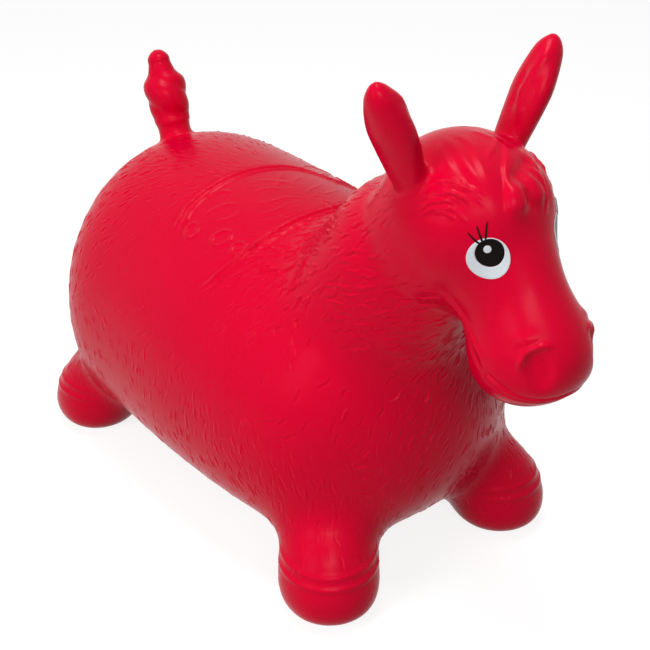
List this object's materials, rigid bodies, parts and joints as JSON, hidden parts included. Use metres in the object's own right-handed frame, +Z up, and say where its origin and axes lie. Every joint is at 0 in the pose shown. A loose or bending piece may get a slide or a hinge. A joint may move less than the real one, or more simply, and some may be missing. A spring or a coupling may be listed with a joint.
{
  "type": "bouncy ride on animal",
  "caption": "Inflatable horse with stub legs, a hollow soft plastic skin, a printed face, upright ears and tail, and an air valve in its belly, for bouncing along on",
  "frame": {"origin": "centre of the bounding box, at the level of the four soles", "axes": "+Z up; the horse faces -Y, so its length runs along Y; +X is the horse's left side"},
  "size_m": [0.3002, 0.6052, 0.4798],
  "materials": {
    "skin_red": "satin soft vinyl",
    "seat_red": "satin soft vinyl",
    "plug_white": "satin",
    "eye_white": "printed",
    "eye_black": "printed"
  },
  "bodies": {
    "horse": {"trunk": "skin_red", "neck": "skin_red", "head": "skin_red", "leg_front_left": "skin_red", "leg_front_right": "skin_red", "leg_rear_left": "skin_red", "leg_rear_right": "skin_red", "valve_seat": "seat_red", "eye_white_left": "eye_white", "highlight_left": "eye_white", "eye_white_right": "eye_white", "highlight_right": "eye_white", "pupil_left": "eye_black", "lash_left_1": "eye_black", "lash_left_2": "eye_black", "lash_left_3": "eye_black", "pupil_right": "eye_black", "lash_right_1": "eye_black", "lash_right_2": "eye_black", "lash_right_3": "eye_black"},
    "foot_front_left": {"foot_front_left": "skin_red"},
    "foot_front_right": {"foot_front_right": "skin_red"},
    "foot_rear_left": {"foot_rear_left": "skin_red"},
    "foot_rear_right": {"foot_rear_right": "skin_red"},
    "ear_left": {"ear_left": "skin_red"},
    "ear_right": {"ear_right": "skin_red"},
    "tail": {"tail": "skin_red"},
    "valve_plug": {"valve_plug": "plug_white"}
  },
  "joints": [
    {"name": "foot_front_left_squash", "type": "slide", "parent": "horse", "child": "foot_front_left", "axis": [0, 0, 1], "range_m": [0, 0.02], "stiffness_N_per_m": 2500, "springref_m": -0.002, "deforming": ["leg_front_left"]},
    {"name": "foot_front_right_squash", "type": "slide", "parent": "horse", "child": "foot_front_right", "axis": [0, 0, 1], "range_m": [0, 0.02], "stiffness_N_per_m": 2500, "springref_m": -0.002, "deforming": ["leg_front_right"]},
    {"name": "foot_rear_left_squash", "type": "slide", "parent": "horse", "child": "foot_rear_left", "axis": [0, 0, 1], "range_m": [0, 0.02], "stiffness_N_per_m": 2500, "springref_m": -0.002, "deforming": ["leg_rear_left"]},
    {"name": "foot_rear_right_squash", "type": "slide", "parent": "horse", "child": "foot_rear_right", "axis": [0, 0, 1], "range_m": [0, 0.02], "stiffness_N_per_m": 2500, "springref_m": -0.002, "deforming": ["leg_rear_right"]},
    {"name": "ear_left_bend", "type": "hinge", "parent": "horse", "child": "ear_left", "pos_m": [0.0475, -0.1665, 0.39018], "axis": [1, 0, 0], "range_deg": [-20, 20], "stiffness_Nm_per_rad": 0.6},
    {"name": "ear_right_bend", "type": "hinge", "parent": "horse", "child": "ear_right", "pos_m": [-0.0475, -0.1665, 0.39018], "axis": [1, 0, 0], "range_deg": [-20, 20], "stiffness_Nm_per_rad": 0.6},
    {"name": "tail_bend", "type": "hinge", "parent": "horse", "child": "tail", "pos_m": [0, 0.22615, 0.29248], "axis": [1, 0, 0], "range_deg": [-20, 20], "stiffness_Nm_per_rad": 0.5},
    {"name": "valve_plug_pull", "type": "slide", "parent": "horse", "child": "valve_plug", "axis": [0, 0, -1], "range_m": [0, 0.018]}
  ]
}
